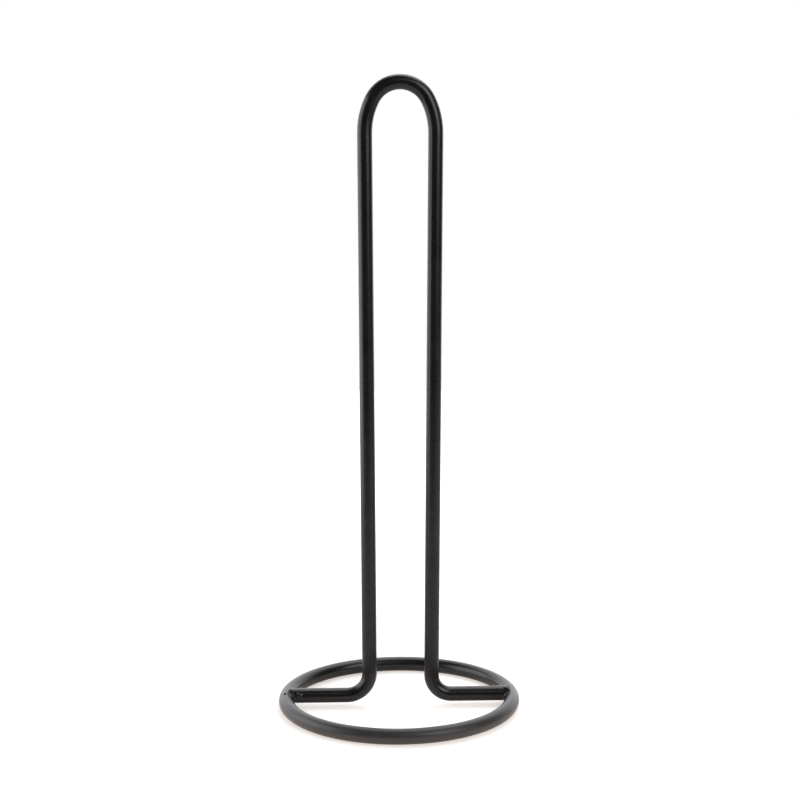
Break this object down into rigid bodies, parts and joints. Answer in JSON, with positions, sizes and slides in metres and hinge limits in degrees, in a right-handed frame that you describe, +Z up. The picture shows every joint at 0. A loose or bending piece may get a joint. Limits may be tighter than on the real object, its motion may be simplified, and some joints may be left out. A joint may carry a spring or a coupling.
{
  "type": "paper towel holder",
  "caption": "Free-standing paper towel holder: a tall hairpin post of round bar on a flat ring base, welded and coated satin black. The roll drops over the post.",
  "frame": {"origin": "on the counter, under the centre of the base ring", "axes": "+Z up along the post; the post's two legs stand side by side along X, and its flat side faces -Y"},
  "size_m": [0.12, 0.12, 0.3103],
  "materials": {
    "powder_coat": "satin black powder coat on steel bar, with faint orange peel"
  },
  "bodies": {
    "root": {"base_ring": "powder_coat", "ring_seam_weld": "powder_coat", "hairpin_post": "powder_coat", "left_foot_weld": "powder_coat", "right_foot_weld": "powder_coat"}
  },
  "joints": []
}
